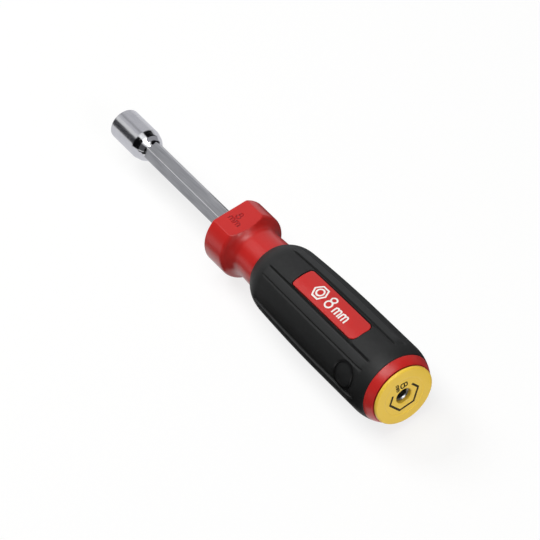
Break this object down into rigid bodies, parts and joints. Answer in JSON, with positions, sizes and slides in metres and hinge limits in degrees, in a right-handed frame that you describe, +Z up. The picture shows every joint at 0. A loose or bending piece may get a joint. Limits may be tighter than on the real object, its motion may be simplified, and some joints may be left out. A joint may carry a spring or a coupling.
{
  "type": "nut driver",
  "caption": "Hand nut driver: a chrome hexagon socket on a hollow hexagon shaft, set in a moulded handle with a flared bolster, a soft ribbed grip and a holed end cap.",
  "frame": {"origin": "on the bench under the middle of the tool, which lies on its grip with the label field up", "axes": "+X along the tool from the socket to the end cap, +Z up through the label field"},
  "size_m": [0.1862, 0.032, 0.0313],
  "materials": {
    "polished_chrome": "bright polished chrome plate",
    "satin_chrome": "satin nickel-chrome plate",
    "red_plastic": "moulded, semi-gloss",
    "black_rubber": "overmoulded soft grip, fine matt texture",
    "yellow_plastic": "moulded, satin"
  },
  "bodies": {
    "root": {"socket": "polished_chrome", "hex_shaft": "satin_chrome", "handle_core": "red_plastic", "grip_sleeve": "black_rubber", "end_cap": "yellow_plastic"}
  },
  "joints": []
}
